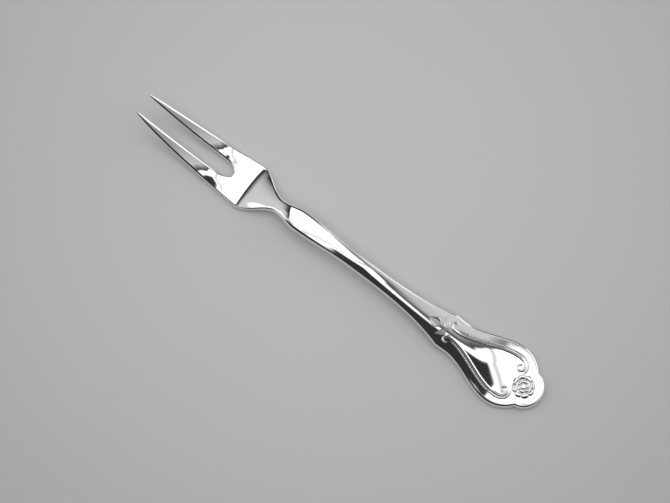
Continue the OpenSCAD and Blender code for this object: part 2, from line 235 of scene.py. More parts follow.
# %% [markdown]
# ## Side view and crown
# From the side the fork bends up at the tines, lies flat at the palm, climbs a crease to the stem and
# sinks back to the table at the handle. A mirror shows every break in such a curve, so each profile is
# sampled finely and rounded with a bell-shaped average. The crease at the palm stays crisp, because on
# the real fork it is a clear line. Across, the face is crowned a little: it is round near the centre
# line and eases into a straight lean towards the edges.

# %% Rounding a profile
bend_softness = 0.9
crease_softness = 0.22
crease_middle = s_crease + crease_length / 2
crisp_half = 1.8
crisp_fade = 3.0
bell_reach = 4


def smoothed(profile, softness):
    """The profile with its corners rounded over about this many millimetres."""
    step = 0.02
    margin = 6.0
    s = np.arange(-margin, fork_length + margin, step)
    reach = int(bell_reach * softness / step)
    bell = np.exp(-0.5 * (np.arange(-reach, reach + 1) * step / softness) ** 2)
    padded = np.pad(profile(s), reach, mode="edge")
    table = np.convolve(padded, bell / bell.sum(), mode="valid")
    return lambda at: np.interp(at, s, table)


def softened(profile):
    """Rounded widely, but only a little around the palm's crease."""
    crisp = smoothed(profile, crease_softness)
    soft = smoothed(profile, bend_softness)

    def blended(s):
        near_crease = 1 - ease((np.abs(s - crease_middle) - crisp_half) / crisp_fade)
        return soft(s) + (crisp(s) - soft(s)) * near_crease
    return blended


print(f"corners rounded over {bend_softness} mm, at the crease over {crease_softness} mm")

# %% Underside and thickness
def incline(s, start, stop, lead, tail):
    """0 at the start, 1 at the stop, straight between two bends."""
    run = stop - start
    x = np.clip(s - start, 0, run)
    full = run - (lead + tail) / 2
    first = x * x / (2 * lead)
    straight = x - lead / 2
    last = full - (run - x) ** 2 / (2 * tail)
    return np.where(x < lead, first, np.where(x < run - tail, straight, last)) / full


def neck_rise(s):
    """0 at the palm's crease, 1 at the crest where the stem starts."""
    return incline(s, s_crease, s_crest, crease_length, crest_length)


def underside_profile(s):
    tine = tip_rise * np.clip(1 - s / s_bend, 0, 2) ** 2
    neck = stem_lift * neck_rise(s)
    stem = stem_lift * (1 - incline(s, s_swelling, s_widest, fall_lead, fall_tail))
    return np.select([s < s_bend, s < s_swelling], [tine, neck], stem)


def thickness_profile(s):
    tine = between(tip_thickness, palm_thickness, s, 0, s_root)
    neck = palm_thickness + (swelling_thickness - palm_thickness) * neck_rise(s)
    stem = between(swelling_thickness, stem_thickness, s, s_swelling, s_stem_waist)
    ears = between(stem_thickness, ear_thickness, s, s_stem_waist, s_ears)
    handle = between(ear_thickness, handle_thickness, s, s_ears, s_widest)
    end = between(handle_thickness, end_thickness, s, s_widest, s_end)
    places = [s_root, s_swelling, s_stem_waist, s_ears, s_widest]
    return np.select([s < place for place in places], [tine, neck, stem, ears, handle], end)


underside = softened(underside_profile)
thickness = softened(thickness_profile)
print("underside at tips, palm, stem and handle:",
      [round(float(underside(s)), 2) for s in (0, s_root, s_stem_waist, s_widest)])

# %% Crown across the fork
crown_change = 3.0
stem_crowned_ahead = 6.0
crown_fade_ahead = 2.0
crown_flat_ahead = 2.0
back_crown = 0.1
s_neck_crowned = s_swelling - crown_change
s_stem_crown = s_swelling + crown_change
s_stem_crowned = s_stem_waist - stem_crowned_ahead
s_crown_fade = s_ears - crown_fade_ahead
s_crown_flat = s_widest - crown_flat_ahead


def crown_fall(crown, width):
    """Fall of the face per square of the distance from the centre line."""
    return crown / (width / 2) ** 2


palm_fall = crown_fall(palm_crown, palm_width)
neck_fall = crown_fall(neck_crown, neck_width)
swelling_fall = crown_fall(swelling_crown, swelling_width)
stem_fall = crown_fall(stem_crown, stem_width)
handle_fall = crown_fall(face_crown, handle_width)


def face_fall_profile(s):
    neck = between(palm_fall, neck_fall, s, s_crease, s_neck)
    swelling = between(neck_fall, swelling_fall, s, s_neck_crowned, s_stem_crown)
    stem = between(swelling_fall, stem_fall, s, s_stem_crown, s_stem_crowned)
    handle = between(stem_fall, handle_fall, s, s_crown_fade, s_crown_flat)
    return np.select([s < s_neck, s < s_stem_crown, s < s_crown_fade], [neck, swelling, stem], handle)


def lean_rate_profile(s):
    """How soon the crown turns from a curve into a straight lean."""
    return face_fall_profile(s) / between(stem_lean, handle_lean, s, s_stem_waist, s_ears)


def back_fall_profile(s):
    rise = between(0, back_crown, s, s_crease, s_stem_waist)
    fall = between(back_crown, 0, s, s_stem_waist, s_ears)
    return np.where(s < s_stem_waist, rise, fall)


face_fall = softened(face_fall_profile)
lean_rate = softened(lean_rate_profile)
back_fall = softened(back_fall_profile)
print("fall of the face at palm, stem and handle:",
      [round(float(face_fall(s)), 4) for s in (s_root, s_stem_waist, s_widest)])

# %% Face and back
tine_crown_fade = 2.0


def tine_drop(s, y):
    """The slight crown that each tine has about its own middle."""
    middle = (slot_width / 2 + half_width(s)) / 2
    aside = (np.abs(y) - middle) / tine_crown_half
    return tine_crown * (1 - np.exp(-aside * aside)) * (1 - ease((s - s_root) / tine_crown_fade))


def face(s, y):
    """Height of the fork's face, before its edges are rounded."""
    drop = face_fall(s) * y * y / (1 + lean_rate(s) * np.abs(y))
    return underside(s) + thickness(s) - drop - tine_drop(s, y)


def back(s, y):
    """Height of the fork's back."""
    return underside(s) + back_fall(s) * y * y


print("face heights at tips, palm, stem and handle:",
      [round(float(face(s, 0)), 2) for s in (0, s_root, s_stem_waist, s_widest)])

# %% [markdown]
# ## Skin of the fork
# One half of the plan is covered by a grid whose rows run across and whose columns crowd towards the
# edges. The same grid makes the face and the back, and the other half is its mirror image. How far a
# point lies from the outline says how much it is rounded down to the edge. A bevel modifier could round
# the edges too, but it stumbles at the slot's root, where this measure flows round by itself.

# %% How far the edges are rounded
tine_room = 0.45
half_room = 0.9


def edge_round(s):
    """Radius of the edge, never more than there is room for."""
    tine = between(tine_edge, palm_edge, s, s_root / 2, s_root)
    neck = between(palm_edge, swelling_edge, s, s_crease, s_neck)
    stem = between(swelling_edge, stem_edge, s, s_swelling, s_stem_waist)
    rest = between(stem_edge, handle_edge, s, s_stem_waist, s_ears)
    inner, outer = edges(s)
    room = np.where(s < s_root, tine_room * (outer - inner), half_room * outer)
    radius = np.select([s < s_root, s < s_neck, s < s_stem_waist], [tine, neck, stem], rest)
    return np.minimum(radius, room)


print("edge radius at palm, swelling and handle:",
      [round(float(edge_round(np.array(s))), 2) for s in (s_crease, s_swelling, s_widest)])

# %% Rows along the fork
quarter = np.pi / 2
tip_rows = 10
slot_rows = 44
root_rows = 10
lobe_rows = 64
root_opening = 0.6
s_crease_fine = s_crease - 0.6
s_neck_fine = s_crease + 3.4
s_stem_coarse = s_swelling + 4
s_ears_fine = s_ears - 4


def stretch(start, stop, step):
    """Evenly spaced rows, the last one left to the next stretch."""
    return np.linspace(start, stop, max(2, round((stop - start) / step)), endpoint=False)


def opening(start, length, count):
    """Rows that start close together and spread, as at a round end."""
    return start + length * (1 - np.cos(np.linspace(0, quarter, count, endpoint=False)))


def closing(start, length, count):
    """Rows that draw together towards a round end."""
    return start + length * np.sin(np.linspace(0, quarter, count, endpoint=False))


rows = np.concatenate([
    opening(0, tip_round, tip_rows),
    stretch(tip_round, s_slot_straight, step=0.3),
    closing(s_slot_straight, slot_root_length, slot_rows),
    opening(s_root, root_opening, root_rows),
    stretch(s_root + root_opening, s_crease_fine, step=0.25),
    stretch(s_crease_fine, s_neck_fine, step=0.08),
    stretch(s_neck_fine, s_stem_coarse, step=0.22),
    stretch(s_stem_coarse, s_ears_fine, step=0.45),
    stretch(s_ears_fine, s_widest, step=0.22),
    stretch(s_widest, s_lobe, step=0.15),
    closing(s_lobe, lobe_length, lobe_rows),
    [s_end]])
print(len(rows), "rows along the fork")

# %% Columns across one half
edge_columns = 9
middle_columns = 16
steepest = 3
slope_step = 0.005


def columns(s):
    """Places across one half at each row, crowded towards both edges."""
    inner, outer = edges(s)
    slope = (half_width(s + slope_step) - half_width(s - slope_step)) / (2 * slope_step)
    reach = edge_round(s) * np.sqrt(1 + np.clip(slope, -steepest, steepest) ** 2)
    reach = np.minimum(reach, tine_room * (outer - inner))
    rising = 1 - np.cos(np.linspace(0, quarter, edge_columns))
    spread = np.linspace(0, 1, middle_columns)[1:-1]
    first = inner[:, None] + reach[:, None] * rising
    last = outer[:, None] - reach[:, None] * rising[::-1]
    middle = first[:, -1:] + (last[:, :1] - first[:, -1:]) * spread
    return np.concatenate([first, middle, last], axis=1)


grid_y = columns(rows)
grid_s = np.repeat(rows[:, None], grid_y.shape[1], axis=1)
print(grid_y.shape[1], "columns across one half")

# %% Distance from the outline
outline_step = 0.06
window = 2.0
least_square = 1e-12
touching = 1e-6


def outline_segments():
    """Short straight pieces along one half of the outline, as start and stop points."""
    fine = np.unique(np.concatenate([np.arange(0, s_end, outline_step), rows]))
    inner, outer = edges(fine)
    before_root = fine <= s_root
    slot_line = np.stack([fine[before_root], inner[before_root]], axis=1)
    outer_line = np.stack([fine, outer], axis=1)
    line = np.concatenate([slot_line[::-1], outer_line, [[s_end, 0.0]]])
    return line[:-1], line[1:]


def edge_distance(s_rows, y_grid):
    """Distance of every grid point from the outline, taken row by row."""
    starts, stops = outline_segments()
    result = np.zeros_like(y_grid)
    for i, s in enumerate(s_rows):
        near = (starts[:, 0] < s + window) & (stops[:, 0] > s - window)
        a = starts[near][None]
        along = stops[near][None] - a
        p = np.stack([np.full_like(y_grid[i], s), y_grid[i]], axis=1)[:, None]
        square = np.maximum((along ** 2).sum(-1), least_square)
        q = np.clip(((p - a) * along).sum(-1) / square, 0, 1)
        result[i] = np.sqrt(((p - a - q[..., None] * along) ** 2).sum(-1)).min(axis=1)
    return result


from_edge = edge_distance(rows, grid_y)
on_edge = from_edge < touching
print(int(on_edge.sum()), "points on the outline")

# %% Heights of the face and the back
fullness = np.clip(from_edge / edge_round(rows)[:, None], 0, 1)
rounding = np.where(on_edge, 0, np.sqrt(1 - (1 - fullness) ** 2))
middle_z = (face(grid_s, grid_y) + back(grid_s, grid_y)) / 2
face_z = middle_z + (face(grid_s, grid_y) - middle_z) * rounding
back_z = middle_z + (back(grid_s, grid_y) - middle_z) * rounding
print(f"face up to {face_z.max():.2f} mm, back down to {back_z.min():.2f} mm")

# %% [markdown]
# ## From grids to meshes
# Every piece below is a few grids sewn together. Points that fall on the same place are welded, faces
# that collapse are dropped, and the sign of the enclosed volume tells whether the faces look outwards.
# Blender's merge by distance could do the welding, but on arrays it is short and needs no edit mode.
# Then the piece is set on the frame: it rides on the one body and stands for its node.

# %% Quads over a grid
def grid_faces(count_rows, count_columns, first=0, wrap=False, flipped=False):
    """Quads over a grid of points numbered row by row."""
    j = np.arange(count_columns if wrap else count_columns - 1)
    i = np.arange(count_rows - 1)[:, None]
    a = first + i * count_columns + j
    d = first + i * count_columns + (j + 1) % count_columns
    quads = np.stack([a, a + count_columns, d + count_columns, d], axis=-1).reshape(-1, 4)
    return quads[:, ::-1] if flipped else quads


print("quads of a 2 by 2 grid:", grid_faces(2, 2).tolist())

# %% Weld, and measure the volume
weld_digits = 6


def weld(points, faces):
    """Join points that coincide and drop what collapses."""
    keys = np.round(points, weld_digits) + 0.0
    _, first, again = np.unique(keys, axis=0, return_index=True, return_inverse=True)
    joined = again.reshape(-1)[faces]
    kept = []
    for face_points in joined.tolist():
        corners = list(dict.fromkeys(face_points))
        if len(corners) >= 3:
            kept.append(corners)
    return points[first], kept, first


def volume(points, faces):
    """Volume inside a closed mesh, negative if it is inside out."""
    triangles = [(f[0], f[k], f[k + 1]) for f in faces for k in range(1, len(f) - 1)]
    a, b, c = (points[np.array(triangles)[:, k]] for k in range(3))
    return float(np.einsum("ij,ij->i", a, np.cross(b, c)).sum() / 6)


print("points closer than", 10 ** -weld_digits, "mm are welded")

# %% Put a piece on the frame
def add_piece(name, points, faces, node, recess=None):
    """Weld a piece, put it in the frame and let it stand for its node."""
    points, faces, kept = weld(points, faces)
    inside = volume(points, faces)
    if inside < 0:
        faces = [f[::-1] for f in faces]
    place = np.array([-fork_length / 2, 0, 0])
    mesh = bpy.data.meshes.new(name)
    mesh.from_pydata(((points + place) * MM).tolist(), [], faces)
    mesh.shade_smooth()
    if recess is not None:
        depth = mesh.attributes.new("recess", "FLOAT", "POINT")
        depth.data.foreach_set("value", recess[kept].astype(np.float32))
    piece = bpy.data.objects.new(name, mesh)
    bpy.context.collection.objects.link(piece)
    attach(piece, "root")
    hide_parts(node)
    print(f"{name}: {len(points)} points, {len(faces)} faces, {abs(inside):.2f} cubic mm")
    return piece


# %% The fork's body
sheets = []
sheet_faces = []
for side in (1, -1):
    for sheet_z, looks_up in ((face_z, True), (back_z, False)):
        first = sum(len(sheet) for sheet in sheets)
        sheets.append(np.stack([grid_s, side * grid_y, sheet_z], axis=-1).reshape(-1, 3))
        sheet_faces.append(grid_faces(*grid_y.shape, first, flipped=(side > 0) != looks_up))
fork_body = add_piece("silver_fork_body", np.concatenate(sheets), np.concatenate(sheet_faces),
                      "fork_body")

# %% [markdown]
# ## Relief on the handle
# The ornament was struck into the handle by a die, so it follows the crowned face. Each ornament is a
# grid of places on that face with a height at every point. Its border dips a hair below the face, so no
# gap shows, and its underside is the same grid sunk a little deeper. How deep a point lies in the relief
# is kept as an attribute, which the finish reads later.

# %% Relief helper
border_dip = 0.02
relief_sink = 0.12


def add_relief(name, s, y, height, node, wrap=False):
    """A closed ornament from grids of place and height on the handle's face."""
    m, n = s.shape
    base = face(s, y)
    top = np.stack([s, y, base + height - border_dip], axis=-1).reshape(-1, 3)
    bottom = np.stack([s, y, base - relief_sink], axis=-1).reshape(-1, 3)
    count = m * n
    parts = [grid_faces(m, n, 0, wrap), grid_faces(m, n, count, wrap, flipped=True)]
    index = np.arange(count).reshape(m, n)
    lines = [index[0][::-1], index[-1]]
    if not wrap:
        lines += [index[:, 0], index[::-1, -1]]
    for line in lines:
        a = line if not wrap else np.append(line, line[0])
        parts.append(np.stack([a[:-1], a[:-1] + count, a[1:] + count, a[1:]], axis=-1))
    recess = 1 - np.clip(height / height.max(), 0, 1).reshape(-1)
    points = np.concatenate([top, bottom])
    return add_piece(name, points, np.concatenate(parts), node,
                     np.concatenate([recess, np.ones(count)]))


print(f"relief sinks {relief_sink} mm into the face")

# %% [markdown]
# ## Scrolls
# Each scroll starts in a small hook beside the leaves, runs along the handle's border and ends in a
# volute beside the rosette. It could be a Bezier curve with a bevel, but its round profile would then
# stand off the crowned face. A curl whose bend tightens steadily is what an engraver draws freehand, and
# it is easy to compute: the heading is summed step by step. The ridge is round across and tapers into
# both curls.

# %% A curl that tightens
def curl(start, heading, turn, flat_radius, tight_radius, run, steps):
    """Points along a curl that tightens from one radius to another."""
    step = run / steps
    along = (np.arange(steps) + 0.5) * step
    first, last = 1 / flat_radius, 1 / tight_radius
    angle = heading + turn * (first * along + (last - first) * along ** 2 / (2 * run))
    moves = step * np.stack([np.cos(angle), np.sin(angle)], axis=1)
    return np.concatenate([[start], start + np.cumsum(moves, axis=0)])


def outward(line):
    """Unit vectors across a line, to its left."""
    along = np.gradient(line, axis=0)
    along /= np.linalg.norm(along, axis=1, keepdims=True)
    return np.stack([-along[:, 1], along[:, 0]], axis=1)


def run_along(line):
    """Distance of each point from the line's start."""
    steps = np.linalg.norm(np.diff(line, axis=0), axis=1)
    return np.concatenate([[0], np.cumsum(steps)])


print("a curl over 4 mm from radius 4 to radius 1 ends at",
      np.round(curl(np.zeros(2), 0, 1, 4, 1, 4, 20)[-1], 2))

# %% Line of a scroll
scroll_width = 1.0
scroll_height = 0.45
scroll_inset = 1.25
scroll_border = 3.9
scroll_from_ears = 2.7
scroll_past_widest = 1.0
end_curl_length = 9.6
end_curl_radius = 0.78
end_curl_steps = 110
leaf_curl_length = 4.9
leaf_curl_start = 3.3
leaf_curl_radius = 0.65
leaf_curl_steps = 60
long_curve_steps = 140

scroll_start = np.array([s_ears + scroll_from_ears, scroll_inset])
scroll_crest = np.array([s_widest + scroll_past_widest, handle_width / 2 - scroll_border])
scroll_run, scroll_climb = scroll_crest - scroll_start
crest_radius = scroll_run ** 2 / (6 * scroll_climb)
end_curl = curl(scroll_crest, 0, -1, crest_radius, end_curl_radius, end_curl_length, end_curl_steps)
leaf_curl = curl(scroll_start, np.pi, -1, leaf_curl_start, leaf_curl_radius, leaf_curl_length,
                 leaf_curl_steps)


def long_curve(first, steps):
    """The eased climb between the two curls, from a share of its length on."""
    q = np.linspace(first, 1, steps, endpoint=False)
    return scroll_start + np.stack([scroll_run * q, scroll_climb * ease(q)], axis=1)


scroll_line = np.concatenate([leaf_curl[:0:-1], long_curve(0, long_curve_steps), end_curl])
print(f"scroll line {run_along(scroll_line)[-1]:.1f} mm long, {len(scroll_line)} points")

# %% The two scrolls
sides = {"left": 1, "right": -1}
scroll_columns = 19
ridge_power = 0.62
curl_share = 0.62
leaf_taper = 4
end_taper = 6
blunt_length = 0.25
blunt_least = 0.05
across = -np.cos(np.linspace(0, np.pi, scroll_columns))
ridge = (1 - across ** 2) ** ridge_power
reach_in = run_along(scroll_line)
reach_back = reach_in[-1] - reach_in
taper = curl_share + (1 - curl_share) * ease(reach_in / leaf_taper) * ease(reach_back / end_taper)
blunt = np.sqrt(1 - (1 - np.clip(np.minimum(reach_in, reach_back) / blunt_length, 0, 1)) ** 2)
half = (taper * np.maximum(blunt, blunt_least) * scroll_width / 2)[:, None]
offset = half * across
scroll_s = scroll_line[:, :1] + outward(scroll_line)[:, :1] * offset
scroll_y = scroll_line[:, 1:] + outward(scroll_line)[:, 1:] * offset
scroll_rise = scroll_height * (taper * blunt)[:, None] * ridge
for hand, side in sides.items():
    add_relief(f"silver_{hand}_scroll", scroll_s, side * scroll_y, scroll_rise, f"{hand}_scroll")

# %% [markdown]
# ## Beading
# A row of beads follows the outer side of each scroll. On the real handle a beading tool is walked along
# a thin raised line, so the line is made first and the beads stand on it. It could be an array of
# spheres, but one height field lets the beads melt into their line as struck silver does.

# %% Line under the beads
bead_diameter = 0.6
bead_gap = 0.15
bead_columns = 13
line_height = 0.2
line_first = 0.015
line_steps = 900
line_curl_steps = 66
line_taper = 1.6
line_least = 0.15
bead_offset = (scroll_width + bead_diameter) / 2 + bead_gap
fine_curve = long_curve(line_first, line_steps)
bead_guide = np.concatenate([fine_curve, end_curl[:line_curl_steps]])
bead_line = bead_guide + outward(bead_guide) * bead_offset
bead_run = run_along(bead_line)
across = -np.cos(np.linspace(0, np.pi, bead_columns))
ends = np.minimum(bead_run, bead_run[-1] - bead_run)
narrow = ease(ends / line_taper) * (1 - line_least) + line_least
line_rise = line_height * narrow[:, None] * (1 - across ** 2)
print(f"line under the beads {bead_run[-1]:.1f} mm long")

# %% The beaded lines
bead_pitch = 0.82
bead_height = 0.34
bead_stretch = 0.86
beads_from = 0.17 * run_along(fine_curve)[-1]
beads_to = 0.9 * run_along(fine_curve)[-1]
beaded = (bead_run > beads_from) & (bead_run < beads_to)
phase = ((bead_run - beads_from) / bead_pitch) % 1 - 0.5
bead_along = 2 * phase[:, None] * bead_pitch / bead_diameter * bead_stretch
bead_round = np.clip(1 - bead_along ** 2 - across ** 2, 0, 1)
bead_rise = np.where(beaded[:, None], bead_height * np.sqrt(bead_round), 0)
bead_half = (narrow * bead_diameter / 2)[:, None]
bead_s = bead_line[:, :1] + outward(bead_line)[:, :1] * bead_half * across
bead_y = bead_line[:, 1:] + outward(bead_line)[:, 1:] * bead_half * across
for hand, side in sides.items():
    add_relief(f"silver_{hand}_beading", bead_s, side * bead_y, np.maximum(line_rise, bead_rise),
               f"{hand}_beading")

# %% [markdown]
# ## Leaves
# Three leaves spring from the point where the scrolls meet. Each is a pointed drop with a raised rim and
# a hollow blade, and the side leaves have a vein. They could be sculpted, but three leaves from one
# formula stay alike. A leaf is drawn in its own measures, along its length and across its width, and
# then turned to its heading on the handle.

# %% Form of a leaf
leaf_height = 0.4
leaf_rows = 48
leaf_margin = 0.001
leaf_columns = 31
leaf_belly = 0.55
leaf_point = 0.9
leaf_least_half = 0.02
rim_at = 0.76
rim_half = 0.17
vein_half = 0.13
blade_share = 0.3
border_power = 12


def leaf_outline(q):
    """Half width of a leaf, from its round base to its point, as a share of the widest."""
    return np.clip(np.sin(np.pi * q ** leaf_belly), 0, 1) ** leaf_point


def add_leaf(name, base, heading, length, width, vein_share, node):
    """A leaf from its base along its heading, with a rim, a blade and a vein."""
    q = (1 - np.cos(np.linspace(leaf_margin, np.pi - leaf_margin, leaf_rows))) / 2
    t = -np.cos(np.linspace(0, np.pi, leaf_columns))
    half = np.maximum(leaf_outline(q) * width / 2, leaf_least_half)
    along = np.array([math.cos(heading), math.sin(heading)])
    aside = np.array([-math.sin(heading), math.cos(heading)])
    place = base + along * length * q[:, None]
    s = place[:, :1] + aside[0] * half[:, None] * t
    y = place[:, 1:] + aside[1] * half[:, None] * t
    rim = np.exp(-((np.abs(t) - rim_at) / rim_half) ** 2)
    vein = vein_share * np.exp(-(t / vein_half) ** 2)
    blade = np.maximum(np.maximum(rim, vein), blade_share) * (1 - np.abs(t) ** border_power)
    body = np.sqrt(np.clip(leaf_outline(q), 0, 1))[:, None]
    return add_relief(name, s, y, leaf_height * body * blade, node)


widest = np.linspace(0, 1, 101)
print("a leaf is widest at", round(float(widest[np.argmax(leaf_outline(widest))]), 2), "of its length")

# %% The leaf spray
centre_leaf_length = 4.35
centre_leaf_width = 3.2
centre_leaf_ahead = 2.75
centre_leaf_vein = 0.0
side_leaf_length = 3.9
side_leaf_width = 2.0
side_leaf_base = 0.5
side_leaf_vein = 0.6
side_leaf_angle = math.radians(46)
spray_behind_ears = 0.4
spray_base = np.array([s_ears + spray_behind_ears, 0])

add_leaf("silver_centre_leaf", spray_base - [centre_leaf_ahead, 0], np.pi,
         centre_leaf_length, centre_leaf_width, centre_leaf_vein, "centre_leaf")
for hand, side in sides.items():
    add_leaf(f"silver_{hand}_leaf", spray_base + [0, side * side_leaf_base],
             np.pi - side * side_leaf_angle, side_leaf_length, side_leaf_width, side_leaf_vein,
             f"{hand}_leaf")

# %% [markdown]
# ## Rosette
# The rosette near the handle's end has eight outer petals, a smaller ring inside them and a round boss.
# One petal could be copied round by an array modifier, but then neighbours would overlap. In polar
# measures a petal is one swing of a cosine, so two rings and a dome are three short formulas. Their
# radii and middle are read from the frame.

# %% Middle and radii of the rosette
petals_low, petals_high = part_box("rosette_petals")
heart_low, heart_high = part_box("rosette_heart")
eye_low, eye_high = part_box("rosette_eye")
rosette_s = (petals_low.x + petals_high.x) / 2 / MM + fork_length / 2
rosette_radius = (petals_high.y - petals_low.y) / 2 / MM
heart_radius = (heart_high.y - heart_low.y) / 2 / MM
eye_radius = (eye_high.y - eye_low.y) / 2 / MM
rosette_columns = 240
turn = np.linspace(0, 2 * np.pi, rosette_columns, endpoint=False)[None]


def add_ring(name, radius, height, node):
    """An ornament in polar measures about the rosette's middle."""
    add_relief(name, rosette_s + radius * np.cos(turn), radius * np.sin(turn), height, node, wrap=True)


print(f"rosette of {2 * rosette_radius:.1f} mm at s {rosette_s:.1f}")

# %% Petals, heart and eye
petal_height = 0.5
petal_levels = 18
petal_notch = 0.13
petal_bluntness = 0.6
petal_cup = 0.05
petal_border = 4
groove_depth = 0.75
groove_half = 0.16
outer_petals = 8
inner_petals = 6
heart_turn = np.pi / 12
ornament_gap = 0.06
eye_proud = 0.1
eye_levels = 14
eye_border = 8


def petal_ring(count, start, inner, outer):
    """Radius and height of a ring of cupped petals."""
    q = np.linspace(0, 1, petal_levels)[:, None]
    lobe = np.abs(np.cos(count * (turn + start) / 2))
    tip = outer * (1 - petal_notch * (1 - lobe ** petal_bluntness))
    radius = inner + (tip - inner) * q
    cup = 1 - petal_cup + petal_cup * np.cos(np.pi * (2 * q - 1)) ** 2
    groove = 1 - groove_depth * np.exp(-(lobe / groove_half) ** 2)
    border = np.sqrt(np.clip(1 - (2 * q - 1) ** petal_border, 0, 1))
    return radius, petal_height * cup * groove * border


petals = petal_ring(outer_petals, 0, heart_radius + ornament_gap, rosette_radius)
add_ring("silver_rosette_petals", *petals, "rosette_petals")
heart = petal_ring(inner_petals, heart_turn, eye_radius + ornament_gap, heart_radius)
add_ring("silver_rosette_heart", *heart, "rosette_heart")
dome = np.linspace(0, 1, eye_levels)[:, None] * np.ones_like(turn)
eye_rise = (petal_height + eye_proud) * np.sqrt(1 - dome ** eye_border)
add_ring("silver_rosette_eye", eye_radius * dome, eye_rise, "rosette_eye")

# %% [markdown]
# ## Shader arithmetic
# Finishes are sums and products of noises and masks. Written as node calls they are hard to read, so one
# small class wraps a socket: arithmetic on it adds Math nodes, and its method adds any other node.

# %% A socket that can be calculated with
class Value:
    """A socket of a node tree; sums and products of it become Math nodes."""

    def __init__(self, tree, socket=None):
        self.tree = tree
        self.socket = socket

    def node(self, kind, settings=None, inputs=None, output=0):
        """Add a node: its settings first, then values or links for its sockets."""
        made = self.tree.nodes.new(kind)
        for name, setting in (settings or {}).items():
            setattr(made, name, setting)
        for name, given in (inputs or {}).items():
            if isinstance(given, Value):
                self.tree.links.new(given.socket, made.inputs[name])
            else:
                made.inputs[name].default_value = given
        return Value(self.tree, made.outputs[output])

    def math(self, operation, first, second=0.0):
        return self.node("ShaderNodeMath", {"operation": operation}, {0: first, 1: second})

    def __add__(self, other):
        return self.math("ADD", self, other)

    def __radd__(self, other):
        return self.math("ADD", other, self)

    def __sub__(self, other):
        return self.math("SUBTRACT", self, other)

    def __rsub__(self, other):
        return self.math("SUBTRACT", other, self)

    def __mul__(self, other):
        return self.math("MULTIPLY", self, other)

    def __rmul__(self, other):
        return self.math("MULTIPLY", other, self)

    def __truediv__(self, other):
        return self.math("DIVIDE", self, other)

    def most(self, other):
        """The larger of two values."""
        return self.math("MAXIMUM", self, other)

    def size(self):
        """The value without its sign."""
        return self.math("ABSOLUTE", self)

    def step(self, low, high):
        """0 below low, 1 above high, with a smooth rise between them."""
        settings = {"interpolation_type": "SMOOTHSTEP"}
        return self.node("ShaderNodeMapRange", settings, {"Value": self, "From Min": low, "From Max": high})

    def dot(self, direction):
        """Share of this vector along a direction."""
        return self.node("ShaderNodeVectorMath", {"operation": "DOT_PRODUCT"}, {0: self, 1: direction},
                         "Value")

    def blend(self, first, last):
        """Mix two colours by this value."""
        return self.node("ShaderNodeMix", {"data_type": "RGBA"}, {0: self, 6: first, 7: last}, 2)


print("methods of a value:", ", ".join(name for name in vars(Value) if not name.startswith("_")))

# %% Starting a material
def new_material(name):
    """A material, its shader node and a value to start expressions from."""
    material = bpy.data.materials.new(name)
    material.use_nodes = True
    shader = material.node_tree.nodes["Principled BSDF"]
    print("new material", name)
    return material, shader, Value(material.node_tree)


def feed(value, shader, socket_name):
    """Link a value to a socket of the shader."""
    value.tree.links.new(value.socket, shader.inputs[socket_name])


def grey(level):
    """A colour without hue."""
    return (level, level, level, 1)


print("a mid grey is", grey(0.5))

# %% [markdown]
# ## Polished silver
# Buffed silver is almost a mirror. What tells it from chrome is a trace of warmth, a faint haze where
# cloths have wiped it and hairlines that run along the piece. A scan of worn metal could be laid on as an
# image, but it would repeat. The haze is a broad noise and the hairlines a noise stretched along the
# fork, and both only move the roughness by a little.

# %% Finish of the body
cool_silver = grey(0.955)
warm_silver = (0.985, 0.98, 0.97, 1)
body_polish = 0.018
haze_dulls = 0.03
hairlines_dull = 0.05
hairline_stretch = (60.0, 2600.0, 900.0)
hairline_low = 0.62
hairline_high = 0.8


def wiped_haze(start):
    """A broad soft noise over the piece."""
    place = start.node("ShaderNodeTexCoord", output="Object")
    return start.node("ShaderNodeTexNoise", {}, {"Vector": place, "Scale": 90.0, "Detail": 3.0})


def hairline_mask(start):
    """Thin lines along the fork."""
    place = start.node("ShaderNodeTexCoord", output="Object")
    stretched = start.node("ShaderNodeMapping", {}, {"Vector": place, "Scale": hairline_stretch})
    lines = start.node("ShaderNodeTexNoise", {}, {"Vector": stretched, "Scale": 1.0, "Detail": 2.0})
    return lines.step(hairline_low, hairline_high)


material, shader, start = new_material("polished_silver")
haze = wiped_haze(start)
feed(haze.blend(cool_silver, warm_silver), shader, "Base Color")
feed(body_polish + haze * haze_dulls + hairline_mask(start) * hairlines_dull, shader, "Roughness")
shader.inputs["Metallic"].default_value = 1.0
fork_body.data.materials.append(material)
print("finish on", fork_body.name)

# %% [markdown]
# ## Silver in the relief
# The ornament's hollows get painted shade: the silver is darkened there in place of the dark surroundings
# that its grooves reflect, and it is also made a little rougher. The shade could be painted by hand or
# baked from ambient occlusion. The recess attribute of each relief mesh already says how deep a point
# lies, so it darkens and dulls the silver there.

# %% Finish of the ornaments
# Grey of the painted shade in the hollows, where it starts, how much of it is mixed in, and how much the
# hollows are dulled.
painted_shade_grey = grey(0.08)
painted_shade_from = 0.15
painted_shade_share = 0.45
hollow_dulls = 0.35
relief_polish = 0.02
material, shader, start = new_material("relief_silver")
haze = wiped_haze(start)
depth = start.node("ShaderNodeAttribute", {"attribute_name": "recess"}, output="Fac")
# Painted shade: the silver's colour is darkened towards the bottom of the relief's hollows; the same mask
# also raises the roughness.
painted_shade_in_hollows = depth.step(painted_shade_from, 1.0)
feed((painted_shade_in_hollows * painted_shade_share).blend(haze.blend(cool_silver, warm_silver), painted_shade_grey), shader, "Base Color")
feed(relief_polish + haze * haze_dulls + painted_shade_in_hollows * hollow_dulls, shader, "Roughness")
shader.inputs["Metallic"].default_value = 1.0
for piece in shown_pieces():
    if not piece.data.materials:
        piece.data.materials.append(material)
        print("finish on", piece.name)
